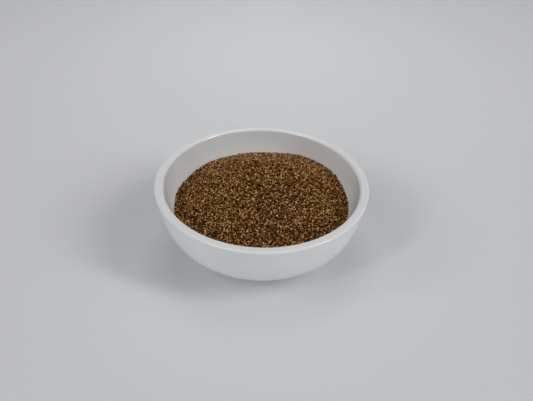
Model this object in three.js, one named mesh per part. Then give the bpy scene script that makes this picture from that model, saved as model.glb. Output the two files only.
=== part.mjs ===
// A small white porcelain bowl on a foot ring, filled with a heap of celery seeds.
// Millimetres, +Z up. The origin is on the bowl's axis, at the level that the foot stands on.
// The front of the bowl, where the heap is lowest, faces -Y.
import * as THREE from 'three';

// Bowl
const RIM_RADIUS = 60; // outside, where the bowl is widest
const BOWL_HEIGHT = 47.5;
const RIM_WIDTH = 5.2;
const RIM_OUTER_ROUND = 0.9;
const RIM_INNER_ROUND = 1.8;
const OUTER_SLOPE = THREE.MathUtils.degToRad(11.2); // of the wall below the rim, from upright
const INNER_SLOPE = THREE.MathUtils.degToRad(8.2);
const BELLY_RADIUS = 30.3; // where the belly meets the foot
const BELLY_LEVEL = 3.5;
const BELLY_SLOPE = THREE.MathUtils.degToRad(35.6); // there, from level
const BELLY_HANDLES = [31.6, 26.5]; // how far the belly's curve keeps its direction: at the foot, at the rim
const FLOOR_RADIUS = 14; // of the flat middle of the floor
const FLOOR_LEVEL = 7;
const FLOOR_HANDLES = [28.1, 18.2]; // the same for the inner wall: at the rim, at the floor

// Foot ring
const FOOT_RADIUS = 29;
const FOOT_WIDTH = 4.2;
const FOOT_ROUND = 0.9;
const FOOT_TOP = 2.1; // where its side turns into the belly
const RECESS_LEVEL = 2; // underside inside the ring

// Heap of seeds
const GAP = 0.3; // between the seeds and the porcelain
const PEAK = new THREE.Vector3(2, 8, BOWL_HEIGHT + 5);
const PEAK_ROUNDNESS = 0.3; // share of the way to the wall over which the cone is rounded
const EDGE_DEPTH = 17.05; // mean depth of the seeds' edge below the rim
// The edge's waves round the bowl: how many, how deep, and the bearing of a trough.
const EDGE_WAVES = [
  { count: 1, depth: 3.9, bearing: -97 },
  { count: 2, depth: 0.75, bearing: -61 },
  { count: 3, depth: 0.55, bearing: -18 },
  { count: 4, depth: 0.15, bearing: 0 },
  { count: 5, depth: 0.3, bearing: 13 },
  { count: 11, depth: 0.2, bearing: 17 },
];
// Low swells over the heap: wavelength, height and heading.
const SWELLS = [
  { length: 33, height: 0.3, heading: 145 },
  { length: 21, height: 0.25, heading: 25 },
  { length: 15, height: 0.2, heading: 80 },
];

// Facets
const TURNS = 72; // round the bowl and the heap
const CURVE_STEPS = 12;
const ROUND_STEPS = 2; // half the facets of a rounded edge
const SLOPE_RINGS = 14; // from the heap's peak to its edge
const WALL_RINGS = 8; // from its edge down to the floor

const PORCELAIN = { color: 0xe9e9e7, roughness: 0.12, metalness: 0 };
const SEED = { color: 0x6b4d2c, roughness: 0.75, metalness: 0 };

function outwards(point, distance, angle) {
  const step = new THREE.Vector2(Math.cos(angle), Math.sin(angle));
  return point.clone().addScaledVector(step, distance);
}

// The belly's outside, from the foot up to the rim, as radius and level.
function outerCurve() {
  const rimCentre = new THREE.Vector2(RIM_RADIUS - RIM_OUTER_ROUND, BOWL_HEIGHT - RIM_OUTER_ROUND);
  const foot = new THREE.Vector2(BELLY_RADIUS, BELLY_LEVEL);
  const rim = outwards(rimCentre, RIM_OUTER_ROUND, -OUTER_SLOPE);
  const footHandle = outwards(foot, BELLY_HANDLES[0], BELLY_SLOPE);
  const rimHandle = outwards(rim, BELLY_HANDLES[1], -OUTER_SLOPE - Math.PI / 2);
  return new THREE.CubicBezierCurve(foot, footHandle, rimHandle, rim);
}

// The inner wall, from the rim down to the flat of the floor.
function innerCurve() {
  const innerRadius = RIM_RADIUS - RIM_WIDTH + RIM_INNER_ROUND;
  const rimCentre = new THREE.Vector2(innerRadius, BOWL_HEIGHT - RIM_INNER_ROUND);
  const rim = outwards(rimCentre, RIM_INNER_ROUND, Math.PI - INNER_SLOPE);
  const floor = new THREE.Vector2(FLOOR_RADIUS, FLOOR_LEVEL);
  const rimHandle = outwards(rim, FLOOR_HANDLES[0], -INNER_SLOPE - Math.PI / 2);
  const floorHandle = new THREE.Vector2(FLOOR_RADIUS + FLOOR_HANDLES[1], FLOOR_LEVEL);
  return new THREE.CubicBezierCurve(rim, rimHandle, floorHandle, floor);
}

function line(x1, y1, x2, y2) {
  return new THREE.LineCurve(new THREE.Vector2(x1, y1), new THREE.Vector2(x2, y2));
}

function arc(x, y, radius, from, to) {
  return new THREE.EllipseCurve(x, y, radius, radius, from, to);
}

// Half the bowl's section, from the middle of its underside round the rim to the middle of its floor.
function bowlSection() {
  const quarter = Math.PI / 2;
  const footInside = FOOT_RADIUS - FOOT_WIDTH;
  const footFillet = new THREE.QuadraticBezierCurve(
    new THREE.Vector2(FOOT_RADIUS, FOOT_TOP),
    new THREE.Vector2(FOOT_RADIUS, BELLY_LEVEL - (BELLY_RADIUS - FOOT_RADIUS) * Math.tan(BELLY_SLOPE)),
    new THREE.Vector2(BELLY_RADIUS, BELLY_LEVEL),
  );
  const rimOuter = [RIM_RADIUS - RIM_OUTER_ROUND, BOWL_HEIGHT - RIM_OUTER_ROUND, RIM_OUTER_ROUND];
  const rimInner = [
    RIM_RADIUS - RIM_WIDTH + RIM_INNER_ROUND,
    BOWL_HEIGHT - RIM_INNER_ROUND,
    RIM_INNER_ROUND,
  ];
  const stretches = [
    [line(0, RECESS_LEVEL, footInside, RECESS_LEVEL), 1],
    [arc(footInside + FOOT_ROUND, FOOT_ROUND, FOOT_ROUND, 2 * quarter, 3 * quarter), ROUND_STEPS],
    [arc(FOOT_RADIUS - FOOT_ROUND, FOOT_ROUND, FOOT_ROUND, -quarter, 0), ROUND_STEPS],
    [footFillet, ROUND_STEPS],
    [outerCurve(), CURVE_STEPS],
    [arc(...rimOuter, -OUTER_SLOPE, 0), 1],
    [arc(...rimOuter, 0, quarter), 2 * ROUND_STEPS],
    [arc(...rimInner, quarter, 2 * quarter - INNER_SLOPE), 2 * ROUND_STEPS],
    [innerCurve(), CURVE_STEPS],
    [line(FLOOR_RADIUS, FLOOR_LEVEL, 0, FLOOR_LEVEL), 1],
  ];
  const points = stretches.flatMap(([curve, steps]) => curve.getPoints(steps));
  return points.filter((point, i) => i === 0 || point.distanceTo(points[i - 1]) > 1e-6);
}

function bowlGeometry() {
  const geometry = new THREE.LatheGeometry(bowlSection(), TURNS);
  return geometry.rotateX(Math.PI / 2);
}

// How far below the rim the seeds meet the wall, by bearing round the bowl.
function edgeDepth(bearing) {
  return EDGE_WAVES.reduce((depth, wave) => {
    const phase = wave.count * (bearing - THREE.MathUtils.degToRad(wave.bearing));
    return depth + wave.depth * Math.cos(phase);
  }, EDGE_DEPTH);
}

function swell(x, y) {
  return SWELLS.reduce((height, wave) => {
    const heading = THREE.MathUtils.degToRad(wave.heading);
    const along = x * Math.cos(heading) + y * Math.sin(heading);
    return height + wave.height * Math.cos((2 * Math.PI * along) / wave.length);
  }, 0);
}

// Height of a cone with a rounded top, 1 at the peak and 0 at the edge.
function roundedCone(share) {
  const slope = (s) => Math.hypot(s, PEAK_ROUNDNESS) - PEAK_ROUNDNESS;
  return 1 - slope(share) / slope(1);
}

// Where along the inner wall's curve a level lies.
function shareAtLevel(wall, level) {
  let [above, below] = [0, 1];
  while (below - above > 1e-6) {
    const middle = (above + below) / 2;
    if (wall.getPoint(middle).y > level) above = middle;
    else below = middle;
  }
  return above;
}

// A point of the heap's outside that lies against the wall, one gap away from it.
function againstWall(wall, share, bearing) {
  const { x: radius, y: level } = wall.getPoint(share);
  const along = wall.getTangent(share);
  const clear = radius + along.y * GAP;
  return new THREE.Vector3(clear * Math.cos(bearing), clear * Math.sin(bearing), level - along.x * GAP);
}

function onSlope(edge, share) {
  const point = new THREE.Vector3().lerpVectors(PEAK, edge, share);
  point.z = THREE.MathUtils.lerp(edge.z, PEAK.z, roundedCone(share));
  point.z += (swell(point.x, point.y) - swell(PEAK.x, PEAK.y)) * (1 - share ** 4);
  return point;
}

// The heap's line from below the peak, over its edge and down the wall, at one bearing.
function heapLine(wall, bearing) {
  const edgeShare = shareAtLevel(wall, BOWL_HEIGHT - edgeDepth(bearing));
  const edge = againstWall(wall, edgeShare, bearing);
  const line = [];
  for (let i = 1; i <= SLOPE_RINGS; i++) line.push(onSlope(edge, i / SLOPE_RINGS));
  for (let i = 1; i <= WALL_RINGS; i++) {
    const share = THREE.MathUtils.lerp(edgeShare, 1, i / WALL_RINGS);
    line.push(againstWall(wall, share, bearing));
  }
  return line;
}

function heapGeometry() {
  const wall = innerCurve();
  const lines = [];
  for (let k = 0; k < TURNS; k++) lines.push(heapLine(wall, (2 * Math.PI * k) / TURNS));
  const rings = SLOPE_RINGS + WALL_RINGS;
  const points = [PEAK, ...lines.flat(), new THREE.Vector3(0, 0, FLOOR_LEVEL + GAP)];
  const last = points.length - 1;
  const faces = [];
  for (let k = 0; k < TURNS; k++) {
    const here = 1 + k * rings;
    const next = 1 + ((k + 1) % TURNS) * rings;
    faces.push(0, here, next);
    for (let i = 0; i < rings - 1; i++) {
      faces.push(here + i, here + i + 1, next + i + 1);
      faces.push(here + i, next + i + 1, next + i);
    }
    faces.push(here + rings - 1, last, next + rings - 1);
  }
  const geometry = new THREE.BufferGeometry().setFromPoints(points);
  geometry.setIndex(faces);
  geometry.computeVertexNormals();
  return geometry;
}

function piece(name, geometry, looks) {
  const mesh = new THREE.Mesh(geometry, new THREE.MeshStandardMaterial(looks));
  mesh.name = name;
  return mesh;
}

const group = new THREE.Group();
group.add(piece('bowl', bowlGeometry(), PORCELAIN));
group.add(piece('celery_seeds', heapGeometry(), SEED));

export default group;
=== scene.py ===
"""Looks of a small white porcelain bowl filled with a heap of celery seeds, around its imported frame."""

import math
from dataclasses import dataclass

import bpy
import numpy as np
from mathutils import Matrix, Vector
from mathutils.bvhtree import BVHTree


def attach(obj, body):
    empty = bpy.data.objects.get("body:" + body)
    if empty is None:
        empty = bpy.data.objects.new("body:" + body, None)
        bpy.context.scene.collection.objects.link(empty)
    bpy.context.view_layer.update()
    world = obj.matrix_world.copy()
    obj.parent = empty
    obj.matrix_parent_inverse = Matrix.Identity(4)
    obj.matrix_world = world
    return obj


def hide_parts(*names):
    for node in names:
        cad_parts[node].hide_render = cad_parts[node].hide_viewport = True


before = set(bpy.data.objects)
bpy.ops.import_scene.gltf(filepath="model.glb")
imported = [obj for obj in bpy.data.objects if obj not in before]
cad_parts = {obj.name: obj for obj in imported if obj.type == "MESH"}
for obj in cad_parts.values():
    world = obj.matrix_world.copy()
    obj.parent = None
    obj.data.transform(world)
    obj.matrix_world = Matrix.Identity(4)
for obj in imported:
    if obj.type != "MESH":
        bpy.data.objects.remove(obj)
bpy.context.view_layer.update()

MM = 0.001
rng = np.random.default_rng(7)

# Camera, in the frame's own metres
PICTURE_WIDTH = 533  # pixels, of the photograph
FOCAL_PIXELS = 644
SENSOR_WIDTH = 36  # millimetres, as the lens is given in
CAMERA_PLACE = (2.9 * MM, -292.7 * MM, 260.2 * MM)
CAMERA_PITCH = math.radians(37.74)  # below level
CAMERA_ROLL = math.radians(1.96)
NEAREST_SEEN = 0.01

# Lamps: name, azimuth from the right (-90 is the front), elevation, distance and size in metres, watts
LAMPS = [
    ("window_right", -22, 38, 2.4, (0.42, 1.3), 17.4),
    ("soft_right", -22, 48, 2.4, (2.4, 1.2), 6.4),
    ("window_left", -134, 36, 2.4, (0.22, 0.75), 6.8),
    ("window_far_left", -161, 34, 2.4, (0.15, 0.6), 3),
    ("soft_left", -148, 48, 2.4, (2.2, 1.2), 9.1),
    ("overhead", 90, 76, 2.4, (1.2, 1.2), 6.6),
]
FLOOR_LAMP_PLACE = (0.0, 0.3, 0.5)  # over the floor behind the bowl, across which its cone fades out
FLOOR_LAMP_SPREAD = math.radians(75)
FLOOR_LAMP_SIZE = 0.2
FLOOR_LAMP_POWER = 0.08
FLOOR_COLOUR = (0.75, 0.755, 0.775, 1)
FLOOR_ROUGHNESS = 0.9
FLOOR_LEVEL_BELOW = 0.02 * MM  # so that the foot doesn't share the floor's plane
BACKDROP_RADIUS, BACKDROP_HEIGHT, BACKDROP_SIDES = 3.0, 0.55, 64
BACKDROP_GLOW = 0.45
WORLD_GLOW = 0.1  # of the light from all round
STUDIO_WHITE = (0.97, 0.985, 1, 1)  # of both glows

# Bowl, as in the CAD part
RIM_RADIUS = 60 * MM
BOWL_HEIGHT = 47.5 * MM
RIM_WIDTH = 5.2 * MM
RIM_OUTER_ROUND = 0.9 * MM
RIM_INNER_ROUND = 1.8 * MM
OUTER_SLOPE = math.radians(11.2)
INNER_SLOPE = math.radians(8.2)
BELLY_RADIUS = 30.3 * MM
BELLY_LEVEL = 3.5 * MM
BELLY_SLOPE = math.radians(35.6)
BELLY_HANDLES = (31.6 * MM, 26.5 * MM)
FLOOR_RADIUS = 14 * MM
FLOOR_LEVEL = 7 * MM
FLOOR_HANDLES = (28.1 * MM, 18.2 * MM)
FOOT_RADIUS = 29 * MM
FOOT_WIDTH = 4.2 * MM
FOOT_ROUND = 0.9 * MM
FOOT_TOP = 2.1 * MM
RECESS_LEVEL = 2 * MM
BARE_LEVEL = 0.7 * MM  # the foot has no glaze below it
BARE_BORDER = 0.2 * MM  # how wide the change is
GLAZE_WHITES = (0.845, 0.86, 0.87, 1), (0.865, 0.875, 0.88, 1)
GLAZE_ROUGHNESS = (0.07, 0.12)
GLAZE_IOR = 1.52
POOL_WIDTH = 20 * MM  # of the patches where the glaze is thicker
POLISH_WIDTH = 4 * MM  # of the patches where it is smoother
WAVE_WIDTH, WAVE_HEIGHT = 9 * MM, 0.02 * MM  # of the faint unevenness of its surface
BARE_WHITES = (0.62, 0.58, 0.5, 1), (0.74, 0.71, 0.64, 1)
BARE_ROUGHER = 0.55  # than the glaze
SPECKLE_WIDTH = 0.5 * MM
NOISE_DETAIL = 2
MOST_NOISE = (0.3, 0.7)  # where most of a noise texture's values lie
BOWL_TURNS = 144
CURVE_STEPS = 30
ROUND_STEPS = 8
FLAT_STEPS = 5  # across the flat of the underside and of the floor

# Seeds
SEED_LENGTH = 1.2 * MM
SEED_WIDTH = 0.72 * MM
SEED_THICKNESS = 0.56 * MM
SIZE_SPREAD = 0.12
RIB_DEPTH = 0.08  # of the seed's half width
BACK_POINTS = 9  # round the back of a half fruit: five ribs and the furrows between them
BACK_ENDS = math.radians(-15), math.radians(195)  # bearings of the outer ribs
WHOLE_POINTS = 12  # round a whole fruit: ribs and furrows in turn
FACE_OUT = 0.3  # how far the flat face stands out from the seed's axis, in half widths
SHARPNESS = 0.43  # power of the seed's outline: 0.5 is an ellipse, less is blunter
TONES = (0.4, 0.34)  # mean and spread of the seeds' shades, from 0 dark to 1 pale
CORE_PAINTED_SHADE_TONES = (0, 0.22)  # darker than the loose seeds': painted shade on the seeds between them
PALE_SHARE = 0.07  # of seeds that are palest
SEED_COLOURS = {  # by shade
    0.0: (0.03, 0.006, 0.0005, 1),
    0.45: (0.31, 0.124, 0.027, 1),
    1.0: (0.92, 0.63, 0.34, 1),
}
# How finely seeds are made, by how much of them no other covers: name, least and most share, rings.
DETAIL = [("_top", 0.9, 1, 3), ("_below", 0.3, 0.9, 2), ("_deep", 0, 0.3, 1)]
# What the colours are multiplied by: seeds are tinted between the first two.
REDDISH, OLIVE = (1.12, 0.93, 0.82, 1), (0.94, 1.05, 0.86, 1)
# The furrows' colour is also the painted shade at the borders of the core's patches.
FURROW_AND_PAINTED_SHADE, RIB_SHADE = (0.51, 0.43, 0.31, 1), (2.35, 2.45, 2.55, 1)
UNSHADED = (1, 1, 1, 1)
RIB_EDGE = (0.5, 1.0)  # where on the way up from a furrow the rib's shade begins and is full
MOTTLE, MOTTLE_WIDTH = 0.12, 0.4 * MM  # how much the shade changes over a seed's skin
SKIN_ROUGHNESS, ROUGH_WIDTH = (0.5, 0.75), 0.3 * MM
GRAIN_WIDTH, GRAIN_HEIGHT = 0.12 * MM, 0.03 * MM  # of the skin's fine relief
SKIN_GLOSS = 0.15
TINT_WIDTH = 3 * MM  # of the core's patches of one tint
PAINTED_SHADE_REACH = 0.7  # how far out in one of the core's patches its painted shade grows as dark as a furrow
# Kinds of seed: how common, their build as shares of the size above, how far their ends bend to the flat
# face, in thicknesses, and how much slimmer one end is, as a share of the width.
KINDS = {
    "plump": {"share": 0.25, "build": (0.93, 1.08, 1.06), "bend": 0.12, "taper": 0.12},
    "slender": {"share": 0.25, "build": (1.1, 0.9, 0.9), "bend": 0.2, "taper": 0.2},
    "curved": {"share": 0.2, "build": (1.02, 0.94, 0.9), "bend": 0.42, "taper": 0.16},
    "small": {"share": 0.18, "build": (0.82, 0.82, 0.86), "bend": 0.15, "taper": 0.2},
    "whole": {"share": 0.12, "build": (0.95, 1.02, 1.3), "bend": 0.0, "taper": 0.1},
}

# How they lie
CELL = 0.2 * MM  # of the height map that the seeds fall on
LOOSE_DEPTH = 1.5 * MM  # of loose seeds over the core
RELIEF_DEPTH = 1.0 * MM  # of the seed shapes in the core's top
SEED_GAP = 0.3 * MM  # between the core and the porcelain, as in the CAD part
ROUNDS = 40  # of falling seeds, at most
DROPS_A_ROUND = 900
FEWEST_OPEN = 400  # cells that are still short of the top; fewer end the fall
LEAST_SHORT = (0.45 * MM, 1.25 * MM)  # how far it may stay below the top, in full and in empty patches
CLUMP = 0.8 * MM  # how wide the fuller and the emptier patches are
MOST_PATCHES = (0.1, 0.9)  # where most of their values lie
THIN = 1.3 * MM  # the heap's depth by its edge, where seeds lie singly on the porcelain
MOST_LEAN = 0.9  # steepest slope that a seed takes over from the ground
LEAN_SPREAD = 0.5  # of what it leans besides
ROLL_SPREAD = math.radians(50)  # round its length
FACE_UP_SHARE = 0.35
SINK = 0.05  # how far a seed settles between those below, as a share of half its thickness
BELOW_TOP = 0.4 * MM  # of the mean top, so that what stands up reaches the CAD heap's top
OVER_TOP = 0.2 * MM  # how far a seed may stand above the mean top
OVER_EDGE = 0.6 * MM  # the same where the heap is thin
EDGE_ROOM = 0.8 * MM  # how far a seed may fall into the wall before it is moved clear of it
# Where a seed is looked at to see if it is buried, as shares of its half length and half width.
PROBES = [(0, 0), (-0.6, 0), (0.6, 0), (-0.3, 0.5), (0.3, 0.5), (-0.3, -0.5), (0.3, -0.5)]
HIDDEN = 0.05 * MM  # what reaches this far over a point hides it
JUST_INSIDE = 1.001  # cells from a map's end, so that there is always a next one
CORE_SIDE = 72  # rings of the core's top
EDGE_STEPS = 720  # round its edge
WALL_RINGS = 10  # from there down to the floor
WALL_STEPS = 240  # of the wall's curve, where its levels are looked up

# Each seed's own part of the map that its colours can be baked to
MAP_ASPECT = 1.9  # the way round a seed, against its length
MAP_MARGIN = 0.04  # share of that part


def set_input(node, name, value):
    node.inputs[name].default_value = value


def new_material(name):
    material = bpy.data.materials.new(name)
    material.use_nodes = True
    nodes = material.node_tree.nodes
    return material, nodes, material.node_tree.links, nodes["Principled BSDF"]


def ranged(nodes, links, value, source, target):
    """Maps one range of values to another."""
    node = nodes.new("ShaderNodeMapRange")
    for name, number in zip(("From Min", "From Max", "To Min", "To Max"), (*source, *target)):
        set_input(node, name, number)
    links.new(value, node.inputs["Value"])
    return node.outputs["Result"]


def added(nodes, links, first, second):
    node = nodes.new("ShaderNodeMath")
    node.operation = "ADD"
    links.new(first, node.inputs[0])
    links.new(second, node.inputs[1])
    return node.outputs["Value"]


def mixed(nodes, links, blend, factor, first, second):
    """Mixes two colours, each of them a value or another node's output, as may be the factor."""
    node = nodes.new("ShaderNodeMix")
    node.data_type = "RGBA"
    node.blend_type = blend
    for name, value in (("Factor", factor), ("A", first), ("B", second)):
        if isinstance(value, bpy.types.NodeSocket):
            links.new(value, node.inputs[name])
        else:
            set_input(node, name, value)
    return node.outputs["Result"]


def ramp(nodes, links, value, stops):
    node = nodes.new("ShaderNodeValToRGB")
    elements = node.color_ramp.elements
    first, *middle, last = stops.items()
    elements[0].position, elements[0].color = first
    elements[1].position, elements[1].color = last
    for position, colour in middle:
        elements.new(position).color = colour
    links.new(value, node.inputs["Fac"])
    return node.outputs["Color"]


def place_in_object(nodes):
    return nodes.new("ShaderNodeTexCoord").outputs["Object"]


def noise(nodes, links, size):
    """Noise whose patches are about this many metres wide."""
    node = nodes.new("ShaderNodeTexNoise")
    set_input(node, "Scale", 1 / size)
    set_input(node, "Detail", NOISE_DETAIL)
    links.new(place_in_object(nodes), node.inputs["Vector"])
    return node.outputs["Fac"]


def bumped(nodes, links, shader, height, distance):
    node = nodes.new("ShaderNodeBump")
    set_input(node, "Distance", distance)
    links.new(height, node.inputs["Height"])
    links.new(node.outputs["Normal"], shader.inputs["Normal"])


def placed(mesh, material):
    """Puts a mesh into the scene, smooth and with its material."""
    mesh.shade_smooth()
    mesh.materials.append(material)
    piece = bpy.data.objects.new(mesh.name, mesh)
    bpy.context.scene.collection.objects.link(piece)
    return piece


def mesh_piece(name, vertices, faces, material):
    mesh = bpy.data.meshes.new(name)
    mesh.from_pydata([tuple(v) for v in vertices], [], [tuple(f) for f in faces])
    return placed(mesh, material)


def as_seeds(piece):
    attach(piece, "root")
    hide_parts("celery_seeds")


# ---------------------------------------------------------------- bowl


def step(point, distance, angle):
    return (point[0] + distance * math.cos(angle), point[1] + distance * math.sin(angle))


def bezier(p0, p1, p2, p3, steps):
    t = np.linspace(0, 1, steps + 1)[:, None]
    p0, p1, p2, p3 = (np.array(p) for p in (p0, p1, p2, p3))
    return (1 - t) ** 3 * p0 + 3 * (1 - t) ** 2 * t * p1 + 3 * (1 - t) * t**2 * p2 + t**3 * p3


def arc(x, y, radius, start, end, steps):
    turn = np.linspace(start, end, steps + 1)
    return np.stack([x + radius * np.cos(turn), y + radius * np.sin(turn)], axis=1)


def inner_wall(steps):
    """The wall from the rim down to the flat of the floor, as radius and level."""
    centre = (RIM_RADIUS - RIM_WIDTH + RIM_INNER_ROUND, BOWL_HEIGHT - RIM_INNER_ROUND)
    rim = step(centre, RIM_INNER_ROUND, math.pi - INNER_SLOPE)
    rim_handle = step(rim, FLOOR_HANDLES[0], -INNER_SLOPE - math.pi / 2)
    floor_handle = (FLOOR_RADIUS + FLOOR_HANDLES[1], FLOOR_LEVEL)
    return bezier(rim, rim_handle, floor_handle, (FLOOR_RADIUS, FLOOR_LEVEL), steps)


def outer_wall(steps):
    """The belly's outside, from the foot up to the rim."""
    centre = (RIM_RADIUS - RIM_OUTER_ROUND, BOWL_HEIGHT - RIM_OUTER_ROUND)
    foot = (BELLY_RADIUS, BELLY_LEVEL)
    rim = step(centre, RIM_OUTER_ROUND, -OUTER_SLOPE)
    foot_handle = step(foot, BELLY_HANDLES[0], BELLY_SLOPE)
    rim_handle = step(rim, BELLY_HANDLES[1], -OUTER_SLOPE - math.pi / 2)
    return bezier(foot, foot_handle, rim_handle, rim, steps)


def bowl_section():
    """Half the bowl, from the middle of its underside round the rim to the middle of its floor."""
    quarter = math.pi / 2
    inside = FOOT_RADIUS - FOOT_WIDTH
    fillet_corner = (FOOT_RADIUS, BELLY_LEVEL - (BELLY_RADIUS - FOOT_RADIUS) * math.tan(BELLY_SLOPE))
    fillet = bezier(
        (FOOT_RADIUS, FOOT_TOP), fillet_corner, fillet_corner, (BELLY_RADIUS, BELLY_LEVEL), ROUND_STEPS
    )
    rim_outer = (RIM_RADIUS - RIM_OUTER_ROUND, BOWL_HEIGHT - RIM_OUTER_ROUND, RIM_OUTER_ROUND)
    rim_inner = (RIM_RADIUS - RIM_WIDTH + RIM_INNER_ROUND, BOWL_HEIGHT - RIM_INNER_ROUND, RIM_INNER_ROUND)
    stretches = [
        np.linspace((0, RECESS_LEVEL), (inside, RECESS_LEVEL), FLAT_STEPS + 1),
        arc(inside + FOOT_ROUND, FOOT_ROUND, FOOT_ROUND, 2 * quarter, 3 * quarter, ROUND_STEPS),
        arc(FOOT_RADIUS - FOOT_ROUND, FOOT_ROUND, FOOT_ROUND, -quarter, 0, ROUND_STEPS),
        fillet,
        outer_wall(CURVE_STEPS),
        arc(*rim_outer, -OUTER_SLOPE, quarter, 2 * ROUND_STEPS),
        arc(*rim_inner, quarter, 2 * quarter - INNER_SLOPE, 2 * ROUND_STEPS),
        inner_wall(CURVE_STEPS),
        np.linspace((FLOOR_RADIUS, FLOOR_LEVEL), (0, FLOOR_LEVEL), FLAT_STEPS + 1),
    ]
    points = np.concatenate(stretches)
    apart = np.linalg.norm(np.diff(points, axis=0), axis=1) > 1e-4 * MM
    return points[np.concatenate([[True], apart])]


def turned(section, turns):
    """Turns a section that starts and ends on the axis: vertices and faces."""
    angles = np.arange(turns) * 2 * math.pi / turns
    body = section[1:-1]
    rings = np.stack(
        [
            body[:, None, 0] * np.cos(angles),
            body[:, None, 0] * np.sin(angles),
            np.repeat(body[:, None, 1], turns, axis=1),
        ],
        axis=2,
    )
    vertices = np.concatenate([[(0, 0, section[0][1])], rings.reshape(-1, 3), [(0, 0, section[-1][1])]])
    last = len(vertices) - 1
    faces = []
    for k in range(turns):
        n = (k + 1) % turns
        faces.append((0, 1 + n, 1 + k))
        for i in range(len(body) - 1):
            low, high = 1 + i * turns, 1 + (i + 1) * turns
            faces.append((low + k, low + n, high + n, high + k))
        top = 1 + (len(body) - 1) * turns
        faces.append((top + k, top + n, last))
    return vertices, faces


def porcelain():
    """White under a clear glaze that pools a little; the ring that the bowl stands on is bare."""
    material, nodes, links, shader = new_material("porcelain")
    split = nodes.new("ShaderNodeSeparateXYZ")
    links.new(place_in_object(nodes), split.inputs["Vector"])
    border = (BARE_LEVEL - BARE_BORDER / 2, BARE_LEVEL + BARE_BORDER / 2)
    glazed = ranged(nodes, links, split.outputs["Z"], border, (0, 1))
    pooled = ranged(nodes, links, noise(nodes, links, POOL_WIDTH), MOST_NOISE, (0, 1))
    glaze = mixed(nodes, links, "MIX", pooled, *GLAZE_WHITES)
    speckled = ranged(nodes, links, noise(nodes, links, SPECKLE_WIDTH), MOST_NOISE, (0, 1))
    bare = mixed(nodes, links, "MIX", speckled, *BARE_WHITES)
    links.new(mixed(nodes, links, "MIX", glazed, bare, glaze), shader.inputs["Base Color"])
    smooth = ranged(nodes, links, noise(nodes, links, POLISH_WIDTH), MOST_NOISE, GLAZE_ROUGHNESS)
    matt = ranged(nodes, links, glazed, (0, 1), (BARE_ROUGHER, 0))
    links.new(added(nodes, links, smooth, matt), shader.inputs["Roughness"])
    bumped(nodes, links, shader, noise(nodes, links, WAVE_WIDTH), WAVE_HEIGHT)
    set_input(shader, "IOR", GLAZE_IOR)
    return material


def build_bowl():
    vertices, faces = turned(bowl_section(), BOWL_TURNS)
    bowl = mesh_piece("porcelain_bowl", vertices, faces, porcelain())
    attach(bowl, "root")
    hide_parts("bowl")


# ---------------------------------------------------------------- where the seeds lie


def wall_curve():
    """The wall from the floor up to the rim: radius and level."""
    return inner_wall(WALL_STEPS)[::-1].T


def wall_radius(level):
    radii, levels = wall_curve()
    return np.interp(level, levels, radii)


def wall_level(radius):
    radii, levels = wall_curve()
    return np.interp(radius, radii, levels)


class HeightMap:
    """Square cells round the bowl's axis, with the level of the heap's top and of the wall in each."""

    def __init__(self):
        self.half = RIM_RADIUS - RIM_WIDTH
        self.count = int(2 * self.half / CELL) + 1
        side = CELL * np.arange(self.count) - self.half
        self.x, self.y = np.meshgrid(side, side, indexing="ij")
        self.wall = wall_level(np.hypot(self.x, self.y))
        self.top = self.heap_top()

    def heap_top(self):
        """Level of the CAD heap's upper side in each cell, or minus infinity beside it."""
        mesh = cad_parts["celery_seeds"].data
        corners = [v.co[:] for v in mesh.vertices]
        tree = BVHTree.FromPolygons(corners, [tuple(p.vertices) for p in mesh.polygons])
        down = Vector((0, 0, -1))
        above = 2 * BOWL_HEIGHT
        hits = (tree.ray_cast(Vector((x, y, above)), down)[0] for x, y in zip(self.x.flat, self.y.flat))
        levels = [-math.inf if hit is None else hit.z for hit in hits]
        return np.array(levels).reshape(self.x.shape)

    def at(self, levels, x, y):
        """A map's levels at any places, read between its cells."""
        i = np.clip((x + self.half) / CELL, 0, self.count - JUST_INSIDE)
        j = np.clip((y + self.half) / CELL, 0, self.count - JUST_INSIDE)
        i0, j0 = i.astype(int), j.astype(int)
        u, v = i - i0, j - j0
        near = levels[i0, j0] * (1 - u) + levels[i0 + 1, j0] * u
        far = levels[i0, j0 + 1] * (1 - u) + levels[i0 + 1, j0 + 1] * u
        return near * (1 - v) + far * v


@dataclass
class Seeds:
    """Seeds that have come to lie: one row for each."""

    places: np.ndarray  # middles
    yaws: np.ndarray
    leans: np.ndarray  # slope of their long plane towards x and y
    sizes: np.ndarray  # 1 for the mean

    def some(self, chosen):
        return Seeds(self.places[chosen], self.yaws[chosen], self.leans[chosen], self.sizes[chosen])


def patches(field, width):
    """Smooth random patches of about this width over the whole map, from 0 to 1."""
    count = int(2 * field.half / width) + 2
    knots = rng.random((count, count))
    place = np.linspace(0, count - JUST_INSIDE, field.count)
    low, share = place.astype(int), place % 1
    rows = knots[low] * (1 - share)[:, None] + knots[low + 1] * share[:, None]
    return rows[:, low] * (1 - share) + rows[:, low + 1] * share


def lean_on(under, reach):
    """Slope of what lies under the middle of a window, towards x and y."""
    span = reach // 2
    slope_x = (under[reach + span, reach] - under[reach - span, reach]) / (2 * span * CELL)
    slope_y = (under[reach, reach + span] - under[reach, reach - span]) / (2 * span * CELL)
    return np.clip((slope_x, slope_y), -MOST_LEAN, MOST_LEAN) + rng.normal(0, LEAN_SPREAD, 2)


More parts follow.
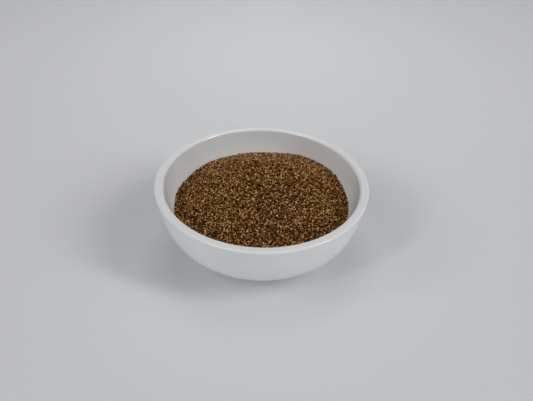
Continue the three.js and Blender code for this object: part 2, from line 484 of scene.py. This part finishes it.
def drop_seeds(field, ground, goal, least_short, most_over):
    """Lets seeds fall, mostly where the ground is furthest below the goal, until it is filled up.

    The ground rises as the seeds land. The last two are maps: how far below the goal the ground may stay,
    and how far above it a seed may stand."""
    reach = int((0.5 + SIZE_SPREAD) * SEED_LENGTH / CELL) + 1
    window = CELL * np.arange(-reach, reach + 1)
    dx, dy = np.meshgrid(window, window, indexing="ij")
    landed = []
    for _ in range(ROUNDS):
        short = goal - ground
        open_cells = np.flatnonzero(short > least_short)
        if len(open_cells) < FEWEST_OPEN:
            break
        weights = short.flat[open_cells] ** 2
        drops = min(DROPS_A_ROUND, len(open_cells))
        for cell in rng.choice(open_cells, drops, False, weights / weights.sum()):
            i, j = divmod(int(cell), field.count)
            under = ground[i - reach : i + reach + 1, j - reach : j + reach + 1]
            size = rng.normal(1, SIZE_SPREAD)
            yaw = rng.uniform(0, 2 * math.pi)
            lean = lean_on(under, reach)
            cos, sin = math.cos(yaw), math.sin(yaw)
            along = (dx * cos + dy * sin) * math.hypot(1, lean[0] * cos + lean[1] * sin)
            across = (dy * cos - dx * sin) * math.hypot(1, lean[1] * cos - lean[0] * sin)
            off = (along / (0.5 * size * SEED_LENGTH)) ** 2 + (across / (0.5 * size * SEED_WIDTH)) ** 2
            covers = off < 1
            half = 0.5 * size * SEED_THICKNESS
            thick = half * np.sqrt(1 - off[covers])
            plane = (dx * lean[0] + dy * lean[1])[covers]
            level = (under[covers] - plane + thick).max() - SINK * half
            if level + half > goal[i, j] + most_over[i, j]:
                continue
            under[covers] = np.maximum(under[covers], level + plane + thick)
            landed.append((field.x[i, j], field.y[i, j], level, yaw, *lean, size))
    table = np.array(landed)
    return Seeds(table[:, :3], table[:, 3], table[:, 4:6], table[:, 6])


def seed_axes(seeds):
    """Each seed's own axes, as columns: along it, across it, and out of its back."""
    cos, sin = np.cos(seeds.yaws), np.sin(seeds.yaws)
    lean_x, lean_y = seeds.leans.T
    along = np.stack([cos, sin, lean_x * cos + lean_y * sin], axis=1)
    along /= np.linalg.norm(along, axis=1)[:, None]
    up = np.stack([-lean_x, -lean_y, np.ones_like(cos)], axis=1)
    up /= np.linalg.norm(up, axis=1)[:, None]
    roll = rng.normal(0, ROLL_SPREAD, len(cos)) + math.pi * (rng.random(len(cos)) < FACE_UP_SHARE)
    across = np.cross(up, along)
    rolled = across * np.cos(roll)[:, None] + up * np.sin(roll)[:, None]
    return np.stack([along, rolled, np.cross(along, rolled)], axis=2)


def shown_share(field, ground, seeds):
    """Share of each seed's upper side that no other seed lies over."""
    cos, sin = np.cos(seeds.yaws), np.sin(seeds.yaws)
    shares = np.zeros(len(cos))
    for u, v in PROBES:
        along, across = 0.5 * seeds.sizes * SEED_LENGTH * u, 0.5 * seeds.sizes * SEED_WIDTH * v
        dx, dy = along * cos - across * sin, along * sin + across * cos
        thick = 0.5 * seeds.sizes * SEED_THICKNESS * math.sqrt(1 - u * u - v * v)
        own = seeds.places[:, 2] + seeds.leans[:, 0] * dx + seeds.leans[:, 1] * dy + thick
        over = field.at(ground, seeds.places[:, 0] + dx, seeds.places[:, 1] + dy)
        shares += over < own + HIDDEN
    return shares / len(PROBES)


# ---------------------------------------------------------------- seeds


@dataclass
class Shape:
    """A seed 1 long, wide and thick, with its back up."""

    vertices: np.ndarray
    faces: list
    places_on_map: np.ndarray  # of each face's corners in turn, in a square of their own
    ribs: np.ndarray  # 1 for a vertex on a pale rib, 0 in a furrow or on an outer rib, whose darkness is painted shade


def half_section():
    """Round a half fruit: ribs on its back and a flat face, as y, z and pale rib for each point.

    The outer two ribs are no paler than the face that they border: painted shade that gives each seed a
    dark outline against its neighbours."""
    rib = np.arange(BACK_POINTS) % 2 == 0
    out = np.where(rib, 1 + RIB_DEPTH, 1 - RIB_DEPTH)
    angles = np.linspace(*BACK_ENDS, BACK_POINTS)
    y = np.append(out * np.cos(angles), 0)
    z = np.append(out * np.sin(angles), -FACE_OUT)
    pale = np.append(rib, False)
    # the outer ribs stay dark: painted shade round the seed's outline
    pale[[0, BACK_POINTS - 1]] = False
    middle = (1 - FACE_OUT) / 2
    return y / 2, (z - middle) / (1 + FACE_OUT), pale


def whole_section():
    """Round a whole fruit: ribs all round."""
    rib = np.arange(WHOLE_POINTS) % 2 == 0
    out = np.where(rib, 1 + RIB_DEPTH, 1 - RIB_DEPTH) / 2
    angles = np.arange(WHOLE_POINTS) * 2 * math.pi / WHOLE_POINTS
    return out * np.cos(angles), out * np.sin(angles), rib


def seed_shape(section, rings, bend, taper):
    """A seed with this section, its ends bent down round its mean level, and slimmer towards its tip."""
    y, z, rib = section
    sides = len(y)
    shares = np.sin(np.linspace(-1, 1, rings + 2) * math.pi / 2)
    rises = bend * (1 / 3 - shares**2)
    vertices = []
    for share, rise in zip(shares[1:-1], rises[1:-1]):
        out = (1 - share**2) ** SHARPNESS * (1 - taper * share)
        vertices += [(share / 2, out * a, out * b + rise) for a, b in zip(y, z)]
    vertices += [(-0.5, 0, rises[0]), (0.5, 0, rises[-1])]
    tail, tip = len(vertices) - 2, len(vertices) - 1
    ribs = np.append(np.tile(rib, rings), (False, False))
    faces, corners = [], []
    for k in range(sides):
        n = (k + 1) % sides
        left, middle, right = k / sides, (k + 0.5) / sides, (k + 1) / sides
        faces.append((tail, n, k))
        corners += [(middle, 0), (right, 1 / (rings + 1)), (left, 1 / (rings + 1))]
        for ring in range(rings - 1):
            low, high = (ring + 1) / (rings + 1), (ring + 2) / (rings + 1)
            base = ring * sides
            faces.append((base + k, base + n, base + sides + n, base + sides + k))
            corners += [(left, low), (right, low), (right, high), (left, high)]
        base = (rings - 1) * sides
        faces.append((base + k, base + n, tip))
        corners += [(left, rings / (rings + 1)), (right, rings / (rings + 1)), (middle, 1)]
    return Shape(np.array(vertices), faces, np.array(corners), ribs.astype(float))


def kept_off_wall(vertices):
    """Moves each seed towards the axis until all of it is inside the wall."""
    radii = np.hypot(vertices[..., 0], vertices[..., 1])
    over = np.maximum((radii - wall_radius(vertices[..., 2])).max(axis=1), 0)
    middles = vertices[..., :2].mean(axis=1)
    inwards = middles / np.linalg.norm(middles, axis=1)[:, None]
    vertices[..., :2] -= (inwards * over[:, None])[:, None]
    return vertices


def map_cells(count, corners):
    """Gives each seed a part of the map of its own."""
    columns = math.ceil(math.sqrt(count / MAP_ASPECT))
    rows = math.ceil(count / columns)
    part = np.stack(np.divmod(np.arange(count), rows), axis=1)
    inset = MAP_MARGIN + (1 - 2 * MAP_MARGIN) * corners
    return (part[:, None] + inset[None]) / (columns, rows)


def joined_seeds(name, shape, seeds, build, material):
    """One mesh of many seeds, each with its own tone and tint."""
    count, corners = len(seeds.sizes), len(shape.vertices)
    sizes = seeds.sizes[:, None] * build * (SEED_LENGTH, SEED_WIDTH, SEED_THICKNESS)
    own = shape.vertices[None] * sizes[:, None]
    vertices = np.einsum("nij,nvj->nvi", seed_axes(seeds), own) + seeds.places[:, None]
    vertices = kept_off_wall(vertices)
    loops = np.concatenate(shape.faces)
    starts = np.cumsum([0] + [len(face) for face in shape.faces[:-1]])
    each = np.arange(count)[:, None]
    mesh = bpy.data.meshes.new(name)
    mesh.vertices.add(count * corners)
    mesh.vertices.foreach_set("co", vertices.ravel())
    mesh.loops.add(count * len(loops))
    mesh.loops.foreach_set("vertex_index", (loops + corners * each).ravel())
    mesh.polygons.add(count * len(starts))
    mesh.polygons.foreach_set("loop_start", (starts + len(loops) * each).ravel())
    mesh.update(calc_edges=True)
    tones = np.where(rng.random(count) < PALE_SHARE, 1, np.clip(rng.normal(*TONES, count), 0, 1))
    tints = rng.random(count)
    for label, values in {
        "tone": np.repeat(tones, corners),
        "tint": np.repeat(tints, corners),
        "rib": np.tile(shape.ribs, count),
    }.items():
        mesh.attributes.new(label, "FLOAT", "POINT").data.foreach_set("value", values)
    bake_map = mesh.uv_layers.new(name="OFBake")
    bake_map.data.foreach_set("uv", map_cells(count, shape.places_on_map).ravel())
    return placed(mesh, material)


# ---------------------------------------------------------------- core


def concentric_grid():
    """A square grid drawn into a disc: each point's bearing and its share of the way to the edge."""
    side = np.arange(-CORE_SIDE, CORE_SIDE + 1)
    i, j = np.meshgrid(side, side, indexing="ij")
    ring = np.maximum(abs(i), abs(j))
    quarter = math.pi / 4
    wide = abs(i) >= abs(j)
    bearing = np.where(
        wide,
        quarter * j / np.where(wide, np.where(i == 0, 1, i), 1) + np.where(i < 0, math.pi, 0),
        2 * quarter - quarter * i / np.where(wide, 1, j) + np.where(j < 0, math.pi, 0),
    )
    return bearing, ring / CORE_SIDE


def core_edge(field, goal, bearings):
    """Radius at which the core's top meets the wall, less the gap, at each bearing."""
    reach = np.arange(0, field.half, CELL / 2)
    x, y = np.cos(bearings)[..., None] * reach, np.sin(bearings)[..., None] * reach
    below = field.at(goal, x, y) < wall_level(reach + SEED_GAP)
    return reach[np.argmax(below, axis=-1)] - CELL / 2


def build_core(field, relief, goal):
    """The closed body under the loose seeds: its top, then down along the wall to the floor."""
    bearings, shares = concentric_grid()
    count = 2 * CORE_SIDE + 1
    spread = np.linspace(-math.pi, math.pi, EDGE_STEPS + 1)
    radii = shares * np.interp(np.angle(np.exp(1j * bearings)), spread, core_edge(field, goal, spread))
    x, y = radii * np.cos(bearings), radii * np.sin(bearings)
    z = np.maximum(field.at(relief, x, y), wall_level(radii + SEED_GAP))
    top = np.stack([x, y, z], axis=-1).reshape(-1, 3)
    index = np.arange(count * count).reshape(count, count)
    rim = np.concatenate([index[:-1, 0], index[-1, :-1], index[:0:-1, -1], index[0, :0:-1]])
    quads = np.stack([index[:-1, :-1], index[1:, :-1], index[1:, 1:], index[:-1, 1:]], axis=-1)
    faces = quads.reshape(-1, 4).tolist()
    edge = top[rim]
    edge_bearings = np.arctan2(edge[:, 1], edge[:, 0])
    way_out = np.stack([np.cos(edge_bearings), np.sin(edge_bearings)], axis=1)
    rings, vertices = [rim], [top]
    for share in np.linspace(0, 1, WALL_RINGS + 1)[1:]:
        level = edge[:, 2] + (FLOOR_LEVEL + SEED_GAP - edge[:, 2]) * share
        radius = np.minimum(wall_radius(level - SEED_GAP) - SEED_GAP, np.hypot(edge[:, 0], edge[:, 1]))
        rings.append(sum(len(part) for part in vertices) + np.arange(len(rim)))
        vertices.append(np.column_stack([way_out * radius[:, None], level]))
    for above, below in zip(rings, rings[1:]):
        faces += np.stack([above, below, np.roll(below, -1), np.roll(above, -1)], axis=1).tolist()
    faces.append(rings[-1][::-1].tolist())
    as_seeds(mesh_piece("seed_core", np.concatenate(vertices), faces, core_material()))


# ---------------------------------------------------------------- heap


def attribute(nodes, name):
    """A value that each seed carries in its vertices."""
    node = nodes.new("ShaderNodeAttribute")
    node.attribute_name = name
    return node.outputs["Fac"]


def dry_skin(nodes, links, shader, tone, tint, shade):
    """Colour, roughness and grain of dry seed, from its tone, its tint and the shade of its ribs."""
    mottle = ranged(nodes, links, noise(nodes, links, MOTTLE_WIDTH), MOST_NOISE, (-MOTTLE, MOTTLE))
    colour = ramp(nodes, links, added(nodes, links, tone, mottle), SEED_COLOURS)
    colour = mixed(nodes, links, "MULTIPLY", 1, colour, shade)
    colour = mixed(nodes, links, "MULTIPLY", 1, colour, mixed(nodes, links, "MIX", tint, REDDISH, OLIVE))
    links.new(colour, shader.inputs["Base Color"])
    rough = ranged(nodes, links, noise(nodes, links, ROUGH_WIDTH), MOST_NOISE, SKIN_ROUGHNESS)
    links.new(rough, shader.inputs["Roughness"])
    bumped(nodes, links, shader, noise(nodes, links, GRAIN_WIDTH), GRAIN_HEIGHT)
    set_input(shader, "Specular IOR Level", SKIN_GLOSS)


def seed_material():
    material, nodes, links, shader = new_material("celery_seed")
    rise = ranged(nodes, links, attribute(nodes, "rib"), RIB_EDGE, (0, 1))
    shade = mixed(nodes, links, "MIX", rise, FURROW_AND_PAINTED_SHADE, RIB_SHADE)
    dry_skin(nodes, links, shader, attribute(nodes, "tone"), attribute(nodes, "tint"), shade)
    return material


def core_material():
    """Seeds in the shade between the loose ones, with that shade painted into darker tones, told apart by
    patches as large as a seed whose borders are darkened as painted shade.
    """
    material, nodes, links, shader = new_material("seed_core")
    seeds = nodes.new("ShaderNodeTexVoronoi")
    set_input(seeds, "Scale", 1 / SEED_LENGTH)
    links.new(place_in_object(nodes), seeds.inputs["Vector"])
    # tones darker than the loose seeds': painted shade
    tone = ranged(nodes, links, seeds.outputs["Color"], (0, 1), CORE_PAINTED_SHADE_TONES)
    # each patch darkens towards its border: painted shade between the core's seeds
    border = ranged(nodes, links, seeds.outputs["Distance"], (0, PAINTED_SHADE_REACH), (0, 1))
    shade = mixed(nodes, links, "MIX", border, UNSHADED, FURROW_AND_PAINTED_SHADE)
    dry_skin(nodes, links, shader, tone, noise(nodes, links, TINT_WIDTH), shade)
    return material


def build_relief(field):
    """Fills the core up with sunk seeds, and gives the ground that the loose ones fall on."""
    inside = np.isfinite(field.top)
    core_top = np.where(inside, field.top - LOOSE_DEPTH, field.wall)
    ground = np.maximum(core_top - RELIEF_DEPTH, field.wall - EDGE_ROOM)
    goal = np.where(inside, core_top, -math.inf)
    drop_seeds(field, ground, goal, np.full_like(ground, LEAST_SHORT[0]), np.full_like(ground, OVER_TOP))
    build_core(field, ground, core_top)
    return ground


def scatter_seeds(field, ground):
    """Lets the loose seeds fall, with fuller and emptier patches, and singly where the heap is thin."""
    depth = field.top - field.wall
    thin = np.isfinite(field.top) & (depth < THIN)
    least_short = np.interp(patches(field, CLUMP), MOST_PATCHES, LEAST_SHORT)
    least_short = np.where(thin, least_short * np.clip(depth / THIN, 0, 1), least_short)
    most_over = np.where(thin, OVER_EDGE, OVER_TOP)
    return drop_seeds(field, ground, field.top - BELOW_TOP, least_short, most_over)


def build_heap():
    field = HeightMap()
    ground = build_relief(field)
    seeds = scatter_seeds(field, ground)
    shown = shown_share(field, ground, seeds)
    material = seed_material()
    chosen = rng.choice(len(KINDS), len(shown), p=[kind["share"] for kind in KINDS.values()])
    for index, (name, kind) in enumerate(KINDS.items()):
        section = whole_section() if name == "whole" else half_section()
        for label, least, most, rings in DETAIL:
            shape = seed_shape(section, rings, kind["bend"], kind["taper"])
            mine = seeds.some((chosen == index) & (shown > least) & (shown <= most))
            as_seeds(joined_seeds("seeds_" + name + label, shape, mine, kind["build"], material))


# ---------------------------------------------------------------- studio


def place_camera():
    data = bpy.data.cameras.new("camera")
    data.sensor_width = SENSOR_WIDTH
    data.lens = FOCAL_PIXELS * SENSOR_WIDTH / PICTURE_WIDTH
    data.clip_start = NEAREST_SEEN
    camera = bpy.data.objects.new("camera", data)
    turn = Matrix.Rotation(math.pi / 2 - CAMERA_PITCH, 4, "X") @ Matrix.Rotation(CAMERA_ROLL, 4, "Z")
    camera.matrix_world = Matrix.Translation(CAMERA_PLACE) @ turn
    bpy.context.scene.collection.objects.link(camera)
    bpy.context.scene.camera = camera


def area_light(name, size, power):
    data = bpy.data.lights.new(name, "AREA")
    data.shape = "RECTANGLE"
    data.size, data.size_y = size
    data.energy = power
    lamp = bpy.data.objects.new(name, data)
    bpy.context.scene.collection.objects.link(lamp)
    return lamp


def lamp_towards_bowl(name, azimuth, elevation, distance, size, power):
    lamp = area_light(name, size, power)
    azimuth, elevation = math.radians(azimuth), math.radians(elevation)
    level = math.cos(elevation)
    way = Vector((level * math.cos(azimuth), level * math.sin(azimuth), math.sin(elevation)))
    lamp.location = way * distance
    lamp.rotation_euler = way.to_track_quat("Z", "Y").to_euler()


def lamp_over_floor():
    lamp = area_light("floor_behind", (FLOOR_LAMP_SIZE, FLOOR_LAMP_SIZE), FLOOR_LAMP_POWER)
    lamp.data.spread = FLOOR_LAMP_SPREAD
    lamp.location = FLOOR_LAMP_PLACE


def build_backdrop():
    """A low pale wall round the floor, for views from low down."""
    material, nodes, links, shader = new_material("backdrop")
    set_input(shader, "Base Color", (0, 0, 0, 1))
    set_input(shader, "Specular IOR Level", 0)
    set_input(shader, "Emission Color", STUDIO_WHITE)
    set_input(shader, "Emission Strength", BACKDROP_GLOW)
    bearings = np.arange(BACKDROP_SIDES) * 2 * math.pi / BACKDROP_SIDES
    ring = BACKDROP_RADIUS * np.stack([np.cos(bearings), np.sin(bearings)], axis=1)
    vertices = [(x, y, z) for z in (-FLOOR_LEVEL_BELOW, BACKDROP_HEIGHT) for x, y in ring]
    faces = []
    for k in range(BACKDROP_SIDES):
        n = (k + 1) % BACKDROP_SIDES
        faces.append((k, n, BACKDROP_SIDES + n, BACKDROP_SIDES + k))
    mesh_piece("backdrop", vertices, faces, material)


def build_floor():
    material, nodes, links, shader = new_material("floor")
    set_input(shader, "Base Color", FLOOR_COLOUR)
    set_input(shader, "Roughness", FLOOR_ROUGHNESS)
    half = BACKDROP_RADIUS
    corners = [(-half, -half), (half, -half), (half, half), (-half, half)]
    vertices = [(x, y, -FLOOR_LEVEL_BELOW) for x, y in corners]
    mesh_piece("floor", vertices, [(0, 1, 2, 3)], material)


def build_world():
    world = bpy.data.worlds.new("studio")
    world.use_nodes = True
    background = world.node_tree.nodes["Background"]
    set_input(background, "Color", STUDIO_WHITE)
    set_input(background, "Strength", WORLD_GLOW)
    bpy.context.scene.world = world


build_bowl()
build_heap()
place_camera()
build_floor()
build_backdrop()
build_world()
for lamp in LAMPS:
    lamp_towards_bowl(*lamp)
lamp_over_floor()
bpy.context.scene.view_settings.view_transform = "Standard"
